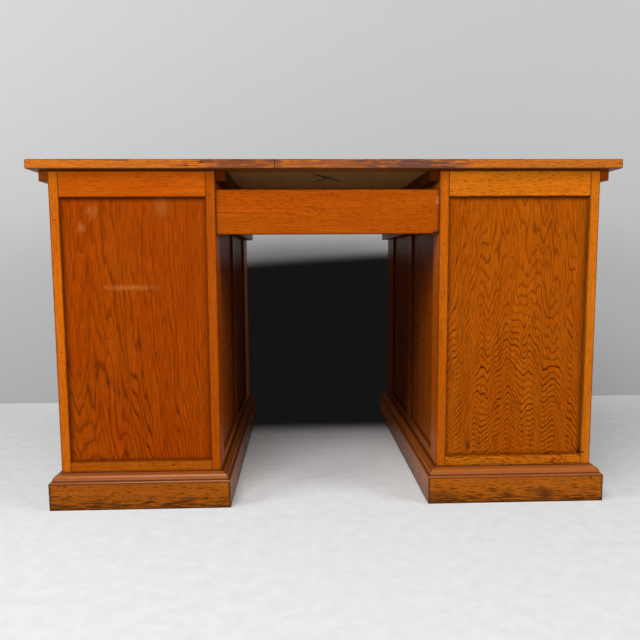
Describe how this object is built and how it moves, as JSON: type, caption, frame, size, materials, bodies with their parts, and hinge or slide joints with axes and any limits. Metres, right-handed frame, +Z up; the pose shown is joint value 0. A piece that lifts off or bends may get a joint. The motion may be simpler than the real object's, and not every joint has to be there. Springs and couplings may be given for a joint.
{
  "type": "twin pedestal desk",
  "caption": "Writing desk with two frame and panel pedestals on moulded plinths, an open knee hole, a lift-on top on battens and wooden drawers that slide out on the sitter's side.",
  "frame": {"origin": "on the floor, under the middle of the desk", "axes": "+X along the width, +Y from the panelled face to the drawer side, +Z up"},
  "size_m": [1.272, 0.814, 0.76],
  "materials": {
    "oak_polished": "polished, worn",
    "oak_panel": "polished, figured",
    "oak_top": "polished, worn",
    "oak_inner": "planed, unfinished",
    "steel_screws": "dulled"
  },
  "bodies": {
    "desk": {"top_panel": "oak_top", "top_frame": "oak_top", "top_battens": "oak_inner", "wood_screws": "steel_screws", "back_rail": "oak_polished", "back_rail_blocks": "oak_inner", "centre_runner_left": "oak_inner", "centre_runner_right": "oak_inner", "left_rear_posts": "oak_polished", "left_front_posts": "oak_polished", "left_rear_rails": "oak_polished", "left_rear_panel": "oak_panel", "left_front_rails": "oak_polished", "left_drawer_runners": "oak_inner", "left_bottom_board": "oak_inner", "left_plinth": "oak_polished", "left_inner_side_frame": "oak_polished", "left_inner_side_panels": "oak_panel", "left_outer_side_frame": "oak_polished", "left_outer_side_panels": "oak_panel", "right_rear_posts": "oak_polished", "right_front_posts": "oak_polished", "right_rear_rails": "oak_polished", "right_rear_panel": "oak_panel", "right_front_rails": "oak_polished", "right_drawer_runners": "oak_inner", "right_bottom_board": "oak_inner", "right_plinth": "oak_polished", "right_inner_side_frame": "oak_polished", "right_inner_side_panels": "oak_panel", "right_outer_side_frame": "oak_polished", "right_outer_side_panels": "oak_panel"},
    "centre_drawer": {"centre_drawer_front": "oak_polished", "centre_drawer_box": "oak_inner", "centre_drawer_knobs": "oak_polished"},
    "left_drawer_1": {"left_drawer_1_front": "oak_polished", "left_drawer_1_box": "oak_inner", "left_drawer_1_knob": "oak_polished"},
    "left_drawer_2": {"left_drawer_2_front": "oak_polished", "left_drawer_2_box": "oak_inner", "left_drawer_2_knob": "oak_polished"},
    "left_drawer_3": {"left_drawer_3_front": "oak_polished", "left_drawer_3_box": "oak_inner", "left_drawer_3_knob": "oak_polished"},
    "left_drawer_4": {"left_drawer_4_front": "oak_polished", "left_drawer_4_box": "oak_inner", "left_drawer_4_knob": "oak_polished"},
    "right_drawer_1": {"right_drawer_1_front": "oak_polished", "right_drawer_1_box": "oak_inner", "right_drawer_1_knob": "oak_polished"},
    "right_drawer_2": {"right_drawer_2_front": "oak_polished", "right_drawer_2_box": "oak_inner", "right_drawer_2_knob": "oak_polished"},
    "right_drawer_3": {"right_drawer_3_front": "oak_polished", "right_drawer_3_box": "oak_inner", "right_drawer_3_knob": "oak_polished"},
    "right_drawer_4": {"right_drawer_4_front": "oak_polished", "right_drawer_4_box": "oak_inner", "right_drawer_4_knob": "oak_polished"}
  },
  "joints": [
    {"name": "centre_drawer_slide", "type": "slide", "parent": "desk", "child": "centre_drawer", "axis": [0, 1, 0], "range_m": [0, 0.28]},
    {"name": "left_drawer_1_slide", "type": "slide", "parent": "desk", "child": "left_drawer_1", "axis": [0, 1, 0], "range_m": [0, 0.45]},
    {"name": "left_drawer_2_slide", "type": "slide", "parent": "desk", "child": "left_drawer_2", "axis": [0, 1, 0], "range_m": [0, 0.45]},
    {"name": "left_drawer_3_slide", "type": "slide", "parent": "desk", "child": "left_drawer_3", "axis": [0, 1, 0], "range_m": [0, 0.45]},
    {"name": "left_drawer_4_slide", "type": "slide", "parent": "desk", "child": "left_drawer_4", "axis": [0, 1, 0], "range_m": [0, 0.45]},
    {"name": "right_drawer_1_slide", "type": "slide", "parent": "desk", "child": "right_drawer_1", "axis": [0, 1, 0], "range_m": [0, 0.45]},
    {"name": "right_drawer_2_slide", "type": "slide", "parent": "desk", "child": "right_drawer_2", "axis": [0, 1, 0], "range_m": [0, 0.45]},
    {"name": "right_drawer_3_slide", "type": "slide", "parent": "desk", "child": "right_drawer_3", "axis": [0, 1, 0], "range_m": [0, 0.45]},
    {"name": "right_drawer_4_slide", "type": "slide", "parent": "desk", "child": "right_drawer_4", "axis": [0, 1, 0], "range_m": [0, 0.45]}
  ]
}
